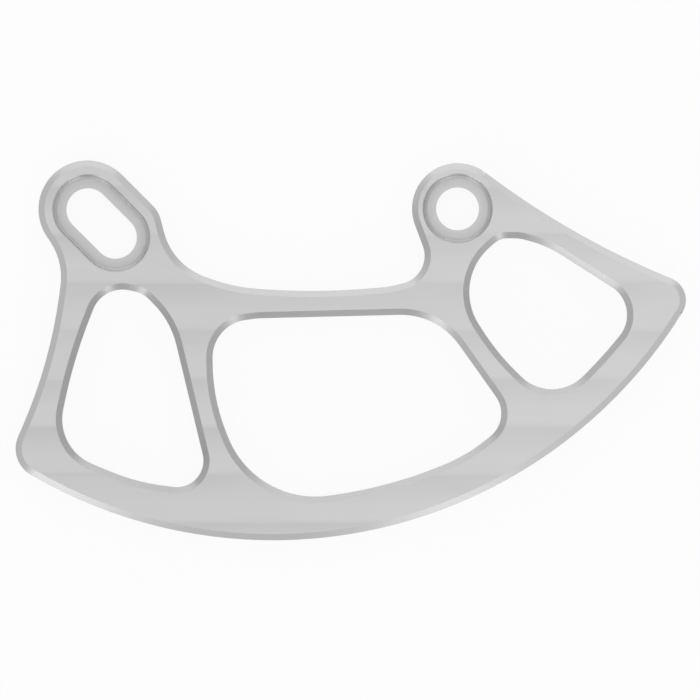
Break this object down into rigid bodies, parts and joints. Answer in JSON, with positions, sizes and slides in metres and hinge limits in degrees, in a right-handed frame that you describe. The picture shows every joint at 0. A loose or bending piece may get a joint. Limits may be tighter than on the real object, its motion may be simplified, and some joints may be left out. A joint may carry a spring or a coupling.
{
  "type": "chainring guard",
  "caption": "Half-moon chainring guard milled from aluminium plate, with cut-out windows, a counterbored bolt hole and a counterbored slot.",
  "frame": {"origin": "axis of the round bolt hole, on the plate's flat back face", "axes": "+Z out of the front face along the bolt hole's axis; +X along the plate's length, from the slot towards the round hole; +Y from the outer rim towards the crank axis, which lies at x -28.3 mm, y +23.0 mm"},
  "size_m": [0.1028, 0.0583, 0.006],
  "materials": {
    "plate": "milled, clear"
  },
  "bodies": {
    "root": {"guard_plate": "plate"}
  },
  "joints": []
}
